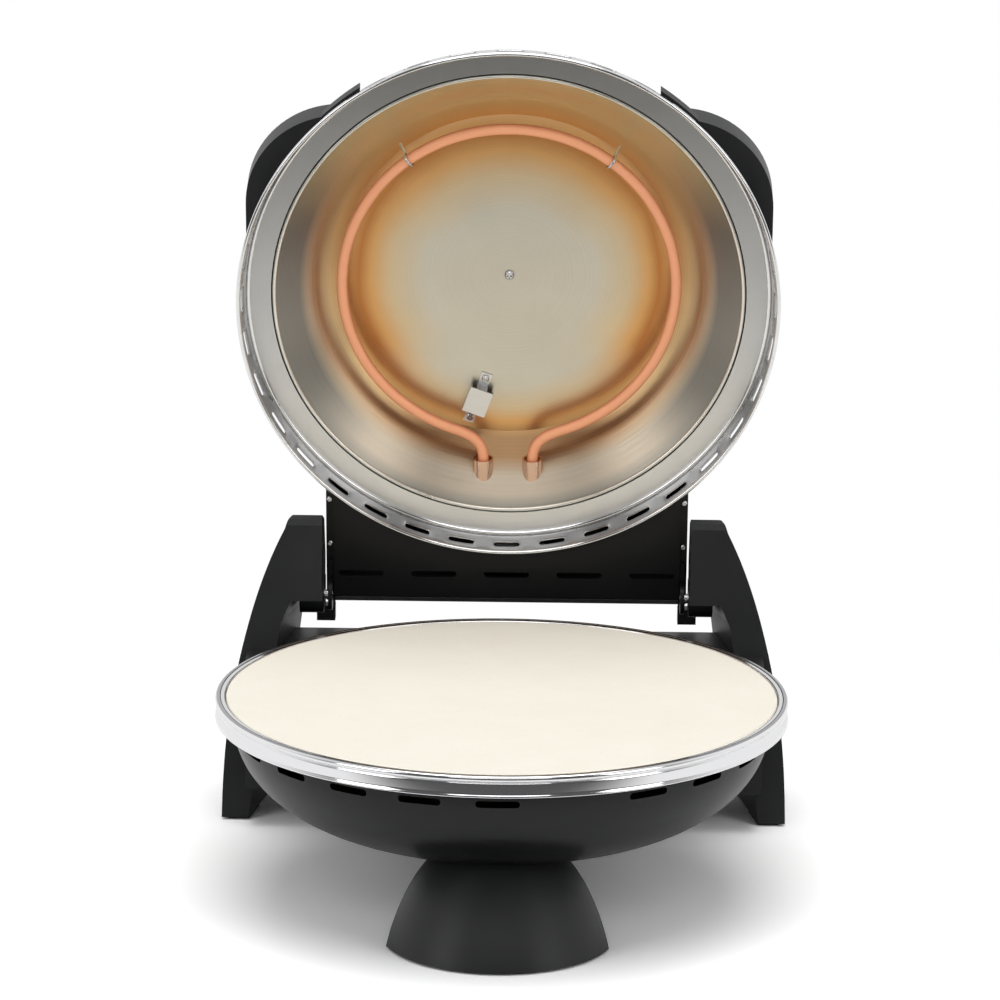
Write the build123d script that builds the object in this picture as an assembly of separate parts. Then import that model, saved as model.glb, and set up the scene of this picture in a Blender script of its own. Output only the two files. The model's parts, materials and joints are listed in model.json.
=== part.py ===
from build123d import *
from math import atan2, cos, degrees, hypot, pi, radians, sin, tan
import os

# Countertop stone cooker: a round heated bowl with a baking stone, and a domed
# lid with its own heater that swings back on two hinge pins. Millimetres, +Z up.
# The bowl's axis is X = Y = 0 and the floor is Z = 0 while the parts are made;
# the whole set is moved at the end so that its box stands over the origin.

# ---- Stone and base ----
stone_radius = 155.0
stone_thickness = 12.0
stone_top_z = 118.0
stone_lift_travel = 7.0   # what the shut lid leaves above the stone
body_gap = 0.3            # least air between pieces of different bodies

ring_reach = 6.3
ring_radius = stone_radius + ring_reach   # outside of the ring round the bowl
ring_top_z = stone_top_z + 0.4
ring_band_z = ring_top_z - 12.4   # lower edge of the ring's outer band
ring_sheet = 1.0
ring_edge_round = 2.3
ring_stone_gap = 0.4
shelf_width = 9.0         # how far the stone's shelf reaches in

bowl_mouth_radius = stone_radius - 4.0
bowl_bottom_z = 39.6
bowl_sheet = 1.2
bowl_side_power = 3.09    # shape of the bowl's shoulder, 2 is a plain oval
bowl_vents = 22
bowl_vent_length = 24.0
bowl_vent_height = 4.0
bowl_vent_z = stone_top_z - 18.4

# ---- Heaters and their pans ----
heater_radius = 98.0
heater_tube = 3.2
heater_end_x = 14.6
heater_leave_angle = 20.0  # where the ends leave the ring, from the hinge side
ferrule_radius = 6.0
ferrule_start = 111.5
ferrule_length = 24.0     # right through the pan wall
heater_end_y = 131.0
wire_hole = 5.0           # holes that the wires pass through
pan_sheet = 0.8
lower_heater_z = stone_top_z - 32.0
lower_pan_mouth = bowl_mouth_radius - 14.0
lower_pan_floor_radius = 112.0
lower_pan_floor_z = lower_heater_z - 18.0
lower_pan_rim_z = lower_heater_z + 17.6
clip_wire = 0.8
clip_angle = 37.0
upper_clip_out = 8.4      # how far a clip leg runs out and up from the tube
upper_clip_up = 8.2
lower_clip_out = 13.5
lower_clip_up = 11.0

# ---- Front foot: part of a dome, cut off behind ----
foot_axis_y = -78.4
foot_corner_y = -99.0
foot_corner_x = 61.7
foot_back_y = -70.0
foot_back_x = 38.0
foot_wall = 3.0
foot_flank = [(65.0, 0.0), (62.2, 8.6), (55.9, 22.0), (47.9, 34.3), (39.7, 43.8), (31.5, 51.5), (22.0, 58.0)]
foot_screw_x = 14.0
foot_screw_y = -86.0
foot_post_z = 9.0         # lower end of the screw posts inside the foot
pad_thickness = 1.5       # rubber under each foot
pad_inset = 4.0

# ---- Arms: the two rear legs that carry the hinge ----
hinge_y = ring_radius + 26.3
hinge_z = stone_top_z + 6.4
box_half_width = 107.2    # half the width of the lid's hinge box, between the arms
arm_front_y = ring_radius - 28.3   # front face at the floor
arm_rear_y = hinge_y + 24.4
arm_lean = 0.18           # the front face goes back this much per mm of height
arm_tuck = 0.19           # the sides go in this much per mm towards the rear
arm_top_z = hinge_z + 53.1
arm_inner_x = box_half_width + 1.6   # face beside the hinge box
arm_wall = 3.0
arm_foot_x = ring_radius + 5.4
arm_flank = [(arm_foot_x, 0.0), (arm_foot_x - 0.5, 20.0), (arm_foot_x - 2.1, 45.0), (arm_foot_x - 4.9, 68.0),
             (arm_foot_x - 8.9, 90.0), (arm_foot_x - 13.1, arm_top_z - 69.5),
             (arm_foot_x - 18.7, arm_top_z - 49.5), (arm_foot_x - 26.5, arm_top_z - 27.5),
             (arm_foot_x - 35.7, arm_top_z - 7.5)]
arm_shoulder_x = arm_foot_x - 41.0
arm_top_fall = 8.5        # how far the top goes down towards the rear
arm_notch_x = arm_foot_x - 39.7
arm_notch_z = hinge_z + 4.1   # underside of the part beside the hinge
arm_leg_inner = [(arm_foot_x - 34.0, arm_notch_z - 12.8), (arm_foot_x - 15.4, 0.0)]
arm_cover_sheet = 2.5
arm_pad_inner_x = arm_foot_x - 20.7
arm_pad_outer_x = arm_foot_x - 3.7
stop_y0 = hinge_y + 13.4   # lug under each hinge that the open lid rests on
stop_y1 = hinge_y + 23.4
stop_top_z = hinge_z - 10.9

# ---- Hinge ----
hinge_pin = 3.0
hinge_clearance = 0.05
hinge_boss = 11.0
open_angle = 79.0         # the set is made with the lid open this far
ear_radius = 9.5
ear_plate = 2.4

# ---- Rear housing ----
housing_wall = 2.5
housing_bottom_z = 24.0
housing_top_z = stone_top_z - 18.0
housing_front_y = ring_radius - 43.3
housing_rear_y = hinge_y + 16.4
housing_inner_x = box_half_width + 4.8   # sides of the opening behind
housing_outer_x = arm_foot_x - 14.7
cover_spots = [(-96, 36), (96, 36), (-96, 88), (96, 88)]
inlet_x = 62.0            # bush where a supply lead would come in
inlet_z = 44.0
inlet_radius = 9.0
inlet_bore = 3.6

# ---- Lid, drawn in its own frame: rim plane Z = 0, hinge towards +Y ----
lid_rim_z = stone_top_z + 1.5   # height of the rim plane when the lid is shut
rim_radius = ring_radius - 3.1
rim_bead = 1.2
skirt_top_radius = rim_radius - 4.6
skirt_height = 19.3
skirt_sheet = 0.9
skirt_slots = 36
skirt_slot_length = 16.0
skirt_slot_height = 4.2
skirt_slot_up = 9.6
flange_mouth = skirt_top_radius - 14.8
flange_sheet = 0.8
dome_radius = skirt_top_radius - 2.8
dome_rise = 51.0
dome_sheet = 1.0
upper_pan_mouth = flange_mouth - 2.2
upper_pan_floor_radius = 101.0
upper_pan_depth = 33.2
upper_heater_up = 36.3
sensor_x = -18.3          # small cover over the sensing bulb on the pan floor
sensor_y = 79.0
sensor_turn = 20.0
sensor_width = 14.0
sensor_length = 16.0
sensor_height = 8.0
sensor_screw = 13.2

# ---- Hinge box of the lid ----
box_sheet = 1.2
box_flange = 4.8
box_floor_up = 9.6
panel_half_width = box_half_width - 4.2
panel_up = 8.4
panel_sheet = 1.0
panel_edge_y = hinge_y + 2.4
panel_slot_y = hinge_y - 12.6
panel_slots = 5
panel_slot_pitch = panel_half_width * 0.42
panel_slot_length = 27.0
panel_slot_height = 3.4
lid_block_y = hinge_y - 17.6   # connector block inside the hinge box

# ---- Handle bridge and controls ----
handle_half_width = rim_radius - 5.2
handle_front_y = -110.7
handle_corner = 55.0      # rounding of the grips, seen from above
handle_rear_y = -14.0
handle_under = 22.0
handle_over = 44.0
handle_wall = 2.5
handle_cover = 7.0        # how far the bridge stands off the dome
fin_x = 86.5
fin_width = 3.4
fin_height = 8.0
pod_half_width = 76.0
pod_rear_y = -45.0
pod_front_y = -107.0
pod_rear_up = 92.0
pod_front_up = 70.0
knob_x = 42.0
knob_y = -78.0
knob_radius = 17.0
knob_height = 15.0
knob_flutes = 18
shaft_radius = 3.0
control_radius = 18.0
control_depth = 15.0

steps = 24                # points along a computed curve

# ---- Sizes that follow from the ones above ----
shelf_top_z = stone_top_z - stone_thickness - body_gap
bowl_mouth_z = shelf_top_z - ring_sheet - 0.2
bowl_depth = bowl_mouth_z - bowl_bottom_z
hinge_up = hinge_z - lid_rim_z
ear_x = box_half_width - box_sheet - ear_plate - 0.1
pod_slope = degrees(atan2(pod_rear_up - pod_front_up, pod_rear_y - pod_front_y))


# ---- Helpers ----
def standing(points):
    return [(r, 0, z) for r, z in points]


def turned(points):
    # a closed outline in radius and height, turned once round Z
    return revolve(make_face(Polyline(*standing(points), close=True)), Axis.Z)


def side_step(points, distance):
    # the same line moved sideways, to the left of the way it runs
    moved = []
    for i, (r, z) in enumerate(points):
        before = points[max(i - 1, 0)]
        after = points[min(i + 1, len(points) - 1)]
        run = after[0] - before[0]
        rise = after[1] - before[1]
        length = hypot(run, rise)
        new_r = r - rise / length * distance
        moved.append((0.0 if r < 0.01 else new_r, z + run / length * distance))
    return moved


def sheet_turned(points, thickness):
    # sheet metal along a smooth line, turned round Z
    near = Spline(*standing(points))
    far = Spline(*standing(side_step(points, thickness)))
    return revolve(make_face([near, far, Line(near @ 0, far @ 0), Line(near @ 1, far @ 1)]), Axis.Z)


def filled_turned(points, level):
    # everything between a smooth line that ends on the axis and one level
    line = Spline(*standing(points))
    edge = Line((points[0][0], 0, level), line @ 0) if abs(points[0][1] - level) > 0.01 else None
    sides = [line, Line(line @ 1, (0, 0, level)), Line((0, 0, level), (points[0][0], 0, level))]
    return revolve(make_face(sides + ([edge] if edge else [])), Axis.Z)


def quarter(radius, height, side_power, floor_power):
    # quarter of a rounded oval: the radius falls while the height grows
    points = []
    for i in range(steps + 1):
        angle = pi / 2 * i / steps
        along = max(cos(angle), 0.0) ** (2 / side_power)
        points.append((radius * along, height * sin(angle) ** (2 / floor_power)))
    return points


def dish(mouth, floor_radius, rim, floor, sheet, rim_out):
    # flat rim, straight cone and flat floor in one outline, turned with its seam at the front
    way = 1 if floor > rim else -1
    run = mouth - floor_radius
    rise = abs(floor - rim)
    shift = sheet * (hypot(run, rise) - run) / rise
    back = rim + way * sheet
    under = floor + way * sheet
    return Rot(0, 0, -90) * turned([(0, floor), (floor_radius, floor), (mouth, rim), (rim_out, rim),
                                    (rim_out, back), (mouth + shift, back), (floor_radius + shift, under),
                                    (0, under)])


def block(x0, x1, y0, y1, z0, z1):
    return Pos((x0 + x1) / 2, (y0 + y1) / 2, (z0 + z1) / 2) * Box(x1 - x0, y1 - y0, z1 - z0)


def rod(radius, start, end):
    along = Vector(*end) - Vector(*start)
    return extrude(Plane(origin=start, z_dir=along) * Circle(radius), along.length)


def mirrored(solid):
    return mirror(solid, about=Plane.YZ)


def both_sides(solid):
    return solid + mirrored(solid)


def across(points, half_width):
    # an outline in Y and Z, drawn out to both sides of X = 0
    face = make_face(Polyline(*[(-half_width, y, z) for y, z in points], close=True))
    return extrude(face, 2 * half_width, dir=(1, 0, 0))


def screw_head(radius, where, facing):
    # a low round head with a cross recess, standing on a face
    height = radius * 0.7
    head = extrude(Circle(radius), height)
    head = chamfer(head.edges().group_by(Axis.Z)[-1], height * 0.4)
    bar = Box(radius * 1.2, radius * 0.3, height * 0.9)
    head -= Pos(0, 0, height) * (bar + Rot(0, 0, 90) * bar)
    return Plane(origin=where, z_dir=facing) * head


# ---- Bowl, ring and stone ----
def bowl_line(grow=0.0):
    # outside of the bowl, from its mouth to the middle of its floor
    shape = quarter(bowl_mouth_radius, bowl_depth, bowl_side_power, 2.0)
    line = [(r, bowl_mouth_z - drop) for r, drop in shape]
    return side_step(line, grow) if grow else line


def bowl_block(grow=0.0):
    return filled_turned(bowl_line(grow), bowl_mouth_z + 3.0)


def make_bowl():
    bowl = sheet_turned(bowl_line(), -bowl_sheet)
    vent_plane = Plane(origin=(bowl_mouth_radius - 9, 0, bowl_vent_z), x_dir=(0, 1, 0), z_dir=(1, 0, 0))
    vent = extrude(vent_plane * SlotOverall(bowl_vent_length, bowl_vent_height), 16)
    holes = [Rot(0, 0, 360 / bowl_vents * i - 90) * vent for i in range(bowl_vents)]
    for side in (-1, 1):
        holes.append(rod(2.2, (side * foot_screw_x, foot_screw_y, 30), (side * foot_screw_x, foot_screw_y, 60)))
        holes.append(rod(wire_hole, (side * heater_end_x, heater_end_y - 11, lower_heater_z),
                         (side * heater_end_x, bowl_mouth_radius + 9, lower_heater_z)))
    return largest(bowl - holes)


def make_ring():
    # a strip with its upper outer edge rolled over, and a shelf inside for the stone
    inner = stone_radius + ring_stone_gap
    sheet = ring_sheet
    low, top, shelf = ring_band_z, ring_top_z, shelf_top_z
    bend = ring_edge_round
    out = ring_radius
    roll = out - bend         # axis of the rolled edge
    roll_z = top - bend

    def on_roll(radius):
        return roll + radius * cos(pi / 4), 0, roll_z + radius * sin(pi / 4)

    section = Line((out, 0, low), (out, 0, roll_z))
    section += ThreePointArc((out, 0, roll_z), on_roll(bend), (roll, 0, top))
    section += Polyline((roll, 0, top), (inner, 0, top), (inner, 0, shelf), (inner - shelf_width, 0, shelf),
                        (inner - shelf_width, 0, shelf - sheet), (inner + sheet, 0, shelf - sheet),
                        (inner + sheet, 0, top - sheet), (roll, 0, top - sheet))
    section += ThreePointArc((roll, 0, top - sheet), on_roll(bend - sheet), (out - sheet, 0, roll_z))
    section += Polyline((out - sheet, 0, roll_z), (out - sheet, 0, low), (out, 0, low))
    return revolve(make_face(section), Axis.Z)


def make_stone():
    stone = Pos(0, 0, stone_top_z - stone_thickness / 2) * Cylinder(stone_radius, stone_thickness)
    return fillet(stone.edges().filter_by(GeomType.CIRCLE), 1.2)


def make_lower_pan():
    pan = dish(lower_pan_mouth, lower_pan_floor_radius, lower_pan_rim_z, lower_pan_floor_z, pan_sheet,
               bowl_mouth_radius - bowl_sheet - 1.4)
    for side in (-1, 1):
        pan -= rod(ferrule_radius, (side * heater_end_x, 100, lower_heater_z),
                   (side * heater_end_x, 150, lower_heater_z))
    return pan


# ---- Heaters: drawn flat at Z = 0, ends towards +Y ----
def heater_path():
    leave = radians(heater_leave_angle)
    bend_x = heater_radius * sin(leave)
    bend_y = heater_radius * cos(leave)
    edges = []
    for side in (1, -1):
        bend = Spline((side * bend_x, bend_y, 0), (side * heater_end_x, ferrule_start, 0),
                      tangents=[(-side * cos(leave), sin(leave), 0), (0, 1, 0)])
        edges.append(bend)
        edges.append(Line(bend @ 1, (side * heater_end_x, heater_end_y, 0)))
    edges.append(ThreePointArc((bend_x, bend_y, 0), (0, -heater_radius, 0), (-bend_x, bend_y, 0)))
    return Wire(Wire.combine([e for line in edges for e in line.edges()])[0].edges())


def make_heater():
    path = heater_path()
    return sweep(Plane(origin=path @ 0, z_dir=path % 0) * Circle(heater_tube), path)


def make_ferrules():
    def along(radius, start, end):
        return rod(radius, (heater_end_x, ferrule_start + start, 0), (heater_end_x, ferrule_start + end, 0))

    ferrule = along(ferrule_radius, 0, ferrule_length)
    ferrule -= along(ferrule_radius - 1.2, -1, 4)
    ferrule -= along(heater_tube + 0.05, -1, ferrule_length + 1)
    return both_sides(ferrule)


def make_clip(reach_out, reach_up):
    # wire loop round the heater tube with a leg to the pan, at the front (-Y)
    loop_radius = heater_tube + clip_wire + 0.05
    loop_plane = Plane(origin=(0, -heater_radius, 0), x_dir=(0, 1, 0), z_dir=(1, 0, 0))
    loop = loop_plane * Torus(loop_radius, clip_wire)
    leg = rod(clip_wire, (0, -heater_radius - loop_radius * 0.7, loop_radius * 0.7),
              (0, -heater_radius - reach_out, reach_up))
    return loop + leg


# ---- Front foot ----
def foot_solid(shrink=0.0):
    flank = [(r - shrink, z) for r, z in foot_flank]
    dome = filled_foot(flank, shrink)
    x, corner, back = foot_corner_x - shrink, foot_corner_y, foot_back_y - shrink
    plan = Polyline((-x, corner, 0), (-foot_back_x + shrink, back, 0), (foot_back_x - shrink, back, 0),
                    (x, corner, 0), (x + 30, corner - 90, 0), (-x - 30, corner - 90, 0), close=True)
    prism = extrude(make_face(plan), 90)
    return Pos(0, foot_axis_y, 0) * dome & prism


def filled_foot(flank, shrink):
    line = Spline(*standing(flank))
    top = (0, 0, flank[-1][1] + 4 - shrink)
    floor = Line((0, 0, 0), line @ 0)
    return revolve(make_face([line, Line(line @ 1, top), Line(top, (0, 0, 0)), floor]), Axis.Z)


def make_foot():
    bowl = bowl_block()
    foot = foot_solid() - bowl - block(-90, 90, -200, 0, -1, pad_thickness)
    hollow = foot_solid(foot_wall) & block(-90, 90, -200, 0, -1, 34)
    for side in (-1, 1):
        hollow -= rod(5.0, (side * foot_screw_x, foot_screw_y, foot_post_z),
                      (side * foot_screw_x, foot_screw_y, 36))
    foot -= hollow
    for side in (-1, 1):
        foot -= rod(1.6, (side * foot_screw_x, foot_screw_y, -1), (side * foot_screw_x, foot_screw_y, 60))
    return foot


def make_foot_pad():
    pad = foot_solid(pad_inset) & block(-90, 90, -200, 0, 0, pad_thickness)
    return pad


# ---- Arms ----
def arm_front(z):
    return arm_front_y + arm_lean * z


def arm_shape(inset=0.0):
    # one leg seen from the front, drawn back to the rear with its sides going in
    def at(x, z):
        return (-(x + arm_tuck * arm_lean * z), arm_front_y, z)

    flank_points = side_step(arm_flank, inset)
    flank = Spline(*[at(x, z) for x, z in flank_points])
    top_z = arm_top_z - inset
    notch_z = arm_notch_z + inset
    shoulder = at(arm_shoulder_x - inset, top_z)
    top = Spline(flank @ 1, shoulder, tangents=[flank % 1, (1, 0, 0)])
    rest = Polyline(shoulder, at(arm_inner_x - 30, top_z), at(arm_inner_x - 30, notch_z),
                    at(arm_notch_x + inset * 0.6, notch_z), *[at(x + inset, z) for x, z in arm_leg_inner],
                    at(*flank_points[0]))
    face = make_face([flank, top] + list(rest.edges()))
    solid = extrude(face, 90, dir=(arm_tuck, 1, 0))
    solid &= across(arm_side(inset), 250)
    return solid & block(-200, -arm_inner_x - inset, 100, 260, 0, 200)


def arm_side(inset):
    # the leg seen from the side: leaning front, rounded edge, top that goes down to the rear
    front = arm_front(arm_top_z - 5)
    edge = front + 5.5
    slope_y = arm_rear_y - 22 + 22 / 34 * arm_top_fall
    fall = arm_top_fall / (slope_y - edge)
    line = [(arm_front_y + inset, 0), (front + inset, arm_top_z - 5 - 0.3 * inset),
            (front + 1.8 + 0.8 * inset, arm_top_z - 1.6 - 0.8 * inset), (edge + 0.4 * inset, arm_top_z - inset)]
    if inset:
        behind = arm_rear_y + 28
        return line + [(behind, arm_top_z - inset - fall * (behind - edge)), (behind, 0)]
    return line + [(slope_y, arm_top_z - arm_top_fall), (arm_rear_y, arm_top_z - 34), (arm_rear_y, 0)]


def arm_rear_band(outer, inner):
    # the strip between two depths below the arm's rear face
    def line(depth):
        back = arm_rear_y - depth
        return [(back, -1), (back, arm_top_z - 34), (back - 24, arm_top_z + 3)]
    return across(line(outer) + line(inner)[::-1], 250)


def make_left_arm():
    outside = arm_shape()
    above_pad = across([(0, pad_thickness), (0, 200), (300, 200), (300, pad_thickness)], 250)
    arm = outside - (arm_shape(arm_wall) & above_pad)
    boss = rod(hinge_boss, (-arm_inner_x + body_gap, hinge_y, hinge_z), (-arm_inner_x - 14, hinge_y, hinge_z))
    arm += boss
    arm += stop_lug()
    arm -= rod(hinge_pin, (-ear_x, hinge_y, hinge_z), (-arm_inner_x - 12, hinge_y, hinge_z))
    return arm - block(-300, 300, 0, 300, -1, pad_thickness)


def stop_lug():
    inner = -arm_inner_x + body_gap
    hang = block(inner - 5, inner, stop_y0, stop_y1, stop_top_z - 9, arm_notch_z + 2)
    return hang + block(inner - 5, inner + 6, stop_y0, stop_y1, stop_top_z - 9, stop_top_z)


def make_stop_pad():
    inner = -arm_inner_x + body_gap
    return block(inner + 1.8, inner + 5.8, stop_y0 + 1, stop_y1 - 1, stop_top_z, stop_top_z + 3.6)


def make_arm_cover():
    cover = arm_shape(arm_wall + 0.2) & arm_rear_band(0.6, 0.6 + arm_cover_sheet)
    slot_plane = Plane(origin=(-132, arm_rear_y + 5, 60), x_dir=(1, 0, 0), z_dir=(0, -1, 0))
    slot = extrude(slot_plane * SlotOverall(14, 2.4), 20)
    for i in range(4):
        cover -= Pos(0, 0, 7 * i) * slot
    return cover - block(-300, 300, 0, 300, -1, pad_thickness + 4)


def make_arm_pad():
    pad = arm_shape(0.01) & block(-300, 0, 0, arm_rear_y, 0, pad_thickness)
    return pad & block(-arm_pad_outer_x, -arm_pad_inner_x, arm_front_y + 3, arm_rear_y - 30, 0, pad_thickness)


# ---- Rear housing ----
def make_housing():
    box = block(-housing_outer_x, housing_outer_x, housing_front_y, housing_rear_y,
                housing_bottom_z, housing_top_z)
    box = chamfer(box.edges().filter_by(Axis.X).group_by(Axis.Y)[-1], 3.0)
    arm = arm_shape()
    box -= arm
    box -= mirrored(arm)
    box -= bowl_block()
    box -= housing_hollow()
    for side in (-1, 1):
        box -= rod(wire_hole, (side * heater_end_x, heater_end_y - 11, lower_heater_z),
                   (side * heater_end_x, hinge_y - 12.6, lower_heater_z))
    return largest(box)


def housing_hollow():
    # open behind, between the sides of the cover, and walled beside the arms and the bowl
    wall = housing_wall
    low, high = housing_bottom_z + wall, housing_top_z - wall
    hollow = block(-housing_outer_x + wall, housing_outer_x - wall, housing_front_y + wall, housing_rear_y - wall,
                   low, high)
    beside_arm = arm_shape(-wall)
    hollow -= beside_arm
    hollow -= mirrored(beside_arm)
    hollow += block(-housing_inner_x, housing_inner_x, housing_front_y + wall, housing_rear_y + 1, low, high)
    return hollow - bowl_block(wall)


def largest(shape):
    return max(shape.solids(), key=lambda solid: solid.volume)


def make_housing_cover():
    cover = block(-housing_inner_x + 0.2, housing_inner_x - 0.2, housing_rear_y - housing_wall, housing_rear_y,
                  housing_bottom_z + housing_wall + 0.2, housing_top_z - housing_wall - 0.2)
    slot_plane = Plane(origin=(0, housing_rear_y + 5, 0), x_dir=(1, 0, 0), z_dir=(0, -1, 0))
    slot = extrude(slot_plane * SlotOverall(34, 3), 20)
    for row in range(4):
        for column in (-1, 0, 1):
            cover -= Pos(column * 44, 0, 62 + 8 * row) * slot
    return cover - rod(inlet_radius - 2, (inlet_x, housing_rear_y - 20, inlet_z),
                       (inlet_x, housing_rear_y + 9, inlet_z))


def make_cord_inlet():
    bush = rod(inlet_radius, (inlet_x, housing_rear_y, inlet_z), (inlet_x, housing_rear_y + 4, inlet_z))
    bush += rod(inlet_radius - 2.1, (inlet_x, housing_rear_y - 8, inlet_z), (inlet_x, housing_rear_y, inlet_z))
    return bush - rod(inlet_bore, (inlet_x, housing_rear_y - 20, inlet_z), (inlet_x, housing_rear_y + 20, inlet_z))


def make_base_terminals():
    block_body = block(-26, 26, hinge_y - 15.6, hinge_y + 0.4, lower_heater_z - 6, lower_heater_z + 5)
    for i in range(4):
        block_body -= rod(1.8, (-19.5 + 13 * i, hinge_y - 7.6, lower_heater_z),
                          (-19.5 + 13 * i, hinge_y - 7.6, lower_heater_z + 9))
    return block_body


def make_base_wires():
    wire = rod(2.0, (heater_end_x, heater_end_y + 0.2, lower_heater_z),
               (heater_end_x, hinge_y - 15.8, lower_heater_z))
    return both_sides(wire)


# ---- Lid ----
def dome_line(grow=0.0):
    line = [(r, skirt_height + 0.3 + up) for r, up in quarter(dome_radius, dome_rise, 2.0, 2.0)]
    return side_step(line, -grow) if grow else line


def lid_outside(grow=0.0):
    # everything the skirt and the dome take up, and a little more
    top = skirt_height + 1.0 + grow
    skirt = turned([(0, -3), (rim_radius + grow, -3), (rim_radius + grow, rim_bead),
                    (skirt_top_radius + grow, top), (0, top)])
    return skirt + filled_turned(dome_line(grow), skirt_height - 2)


def make_skirt():
    bead_middle = rim_radius - rim_bead
    foot = rim_radius - 0.4
    skirt = turned([(foot, rim_bead), (skirt_top_radius, skirt_height),
                    (skirt_top_radius - skirt_sheet, skirt_height), (foot - skirt_sheet, rim_bead)])
    slot_plane = Plane(origin=(rim_radius - 8, 0, skirt_slot_up), x_dir=(0, 1, 0), z_dir=(1, 0, 0))
    slot = extrude(slot_plane * SlotOverall(skirt_slot_length, skirt_slot_height), 12)
    for i in range(skirt_slots):
        skirt -= Rot(0, 0, 90 + 360 / skirt_slots * i) * slot
    return skirt + Pos(0, 0, rim_bead) * Torus(bead_middle, rim_bead)


def make_flange():
    out = skirt_top_radius - skirt_sheet - 0.1
    low = skirt_height - flange_sheet
    return turned([(flange_mouth, low), (out, low), (out, skirt_height), (flange_mouth, skirt_height)])


def make_dome():
    dome = sheet_turned(dome_line(), dome_sheet)
    lip = skirt_top_radius - skirt_sheet - 0.1
    inner = dome_radius - dome_sheet
    dome += turned([(inner, skirt_height), (lip, skirt_height), (lip, skirt_height + dome_sheet),
                    (inner, skirt_height + dome_sheet)])
    for side in (-1, 1):
        dome -= rod(wire_hole + 1, (side * heater_end_x, heater_end_y - 11, upper_heater_up),
                    (side * heater_end_x, dome_radius + 9.2, upper_heater_up))
        dome -= on_pod(side) * Pos(0, 0, -30) * Cylinder(control_radius + 1, 44)
    return dome


def make_upper_pan():
    pan = dish(upper_pan_mouth, upper_pan_floor_radius, skirt_height, skirt_height + upper_pan_depth, pan_sheet,
               dome_radius - dome_sheet - 0.3)
    for side in (-1, 1):
        pan -= rod(ferrule_radius, (side * heater_end_x, 100, upper_heater_up),
                   (side * heater_end_x, 148, upper_heater_up))
    return pan


def make_insulation():
    floor_up = skirt_height + upper_pan_depth + pan_sheet
    mat = Pos(0, 0, floor_up + 1.3) * Cylinder(upper_pan_floor_radius - 8, 2.2)
    for side in (-1, 1):
        mat -= on_pod(side) * Pos(0, 0, -30) * Cylinder(control_radius + 2, 60)
    return mat


def sensor_place():
    return Pos(sensor_x, sensor_y, skirt_height + upper_pan_depth) * Rot(0, 0, sensor_turn)


def make_sensor_cover():
    sheet = 0.8
    cover = block(-sensor_width / 2, sensor_width / 2, -sensor_length / 2, sensor_length / 2, -sensor_height, 0)
    cover -= block(-sensor_width / 2 + sheet, sensor_width / 2 - sheet, -20, 20, -sensor_height + sheet, 1)
    tab = block(-3.2, 3.2, sensor_length / 2 - sheet, sensor_screw + 3.4, -sheet, 0)
    tab += block(-3.2, 3.2, sensor_length / 2 - sheet, sensor_length / 2, -sensor_height, 0)
    cover += tab
    cover += Rot(0, 0, 180) * tab
    return sensor_place() * cover


def make_sensor_bulb():
    return sensor_place() * rod(2.2, (0, -6.5, -4), (0, 6.5, -4))


def make_sensor_screws():
    heads = [screw_head(2.2, (0, side * sensor_screw, -0.8), (0, 0, -1)) for side in (-1, 1)]
    return sensor_place() * (heads[0] + heads[1])


def make_pan_screw():
    return screw_head(2.8, (0, 0, skirt_height + upper_pan_depth), (0, 0, -1))


def make_lid_wires():
    wire = rod(2.0, (heater_end_x, heater_end_y + 0.2, upper_heater_up),
               (heater_end_x, lid_block_y - 0.2, upper_heater_up))
    return both_sides(wire)


def make_lid_terminals():
    body = block(-26, 26, lid_block_y, lid_block_y + 14, upper_heater_up - 6, upper_heater_up + 5)
    for i in range(4):
        x = -19.5 + 13 * i
        body -= rod(1.8, (x, lid_block_y + 7, upper_heater_up), (x, lid_block_y + 7, upper_heater_up + 9))
    return body


# ---- Hinge box ----
def box_outline(inset):
    low = box_floor_up - (1 if inset else 0)
    return [(hinge_y + 1.9, low), (hinge_y + 8.4 - inset, 14 + inset * 0.4),
            (hinge_y + 8.4 - inset, 34 - inset * 0.3), (hinge_y - 0.6 - inset * 0.6, 46 - inset),
            (120, 62 - inset), (90, 62 - inset), (90, low)]


def make_hinge_cover():
    cover = across(box_outline(0), box_half_width) - across(box_outline(box_sheet), box_half_width - box_sheet)
    lip = box_half_width - box_flange
    cover += both_sides(block(lip, box_half_width, 110, hinge_y + 1.9, box_floor_up, box_floor_up + 1.0))
    ears = both_sides(ear_block(0.1))
    return largest(cover - ears - lid_outside(0.3))


def ear_block(grow=0.0):
    side = [(hinge_y - 21.6 - grow, hinge_up + 3), (hinge_y - 21.6 - grow, 32 + grow),
            (hinge_y + 4.4 + grow, 32 + grow), (hinge_y + 4.4 + grow, hinge_up + 3)]
    face = make_face(Polyline(*[(ear_x - grow, y, z) for y, z in side], close=True))
    plate = extrude(face, ear_plate + 2 * grow, dir=(1, 0, 0))
    return plate + rod(ear_radius + grow, (ear_x - grow, hinge_y, hinge_up),
                       (ear_x + ear_plate + grow, hinge_y, hinge_up))


def make_ears():
    ear = ear_block() - rod(hinge_pin + hinge_clearance, (ear_x - 9, hinge_y, hinge_up),
                            (ear_x + 12, hinge_y, hinge_up))
    return both_sides(ear)


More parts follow.
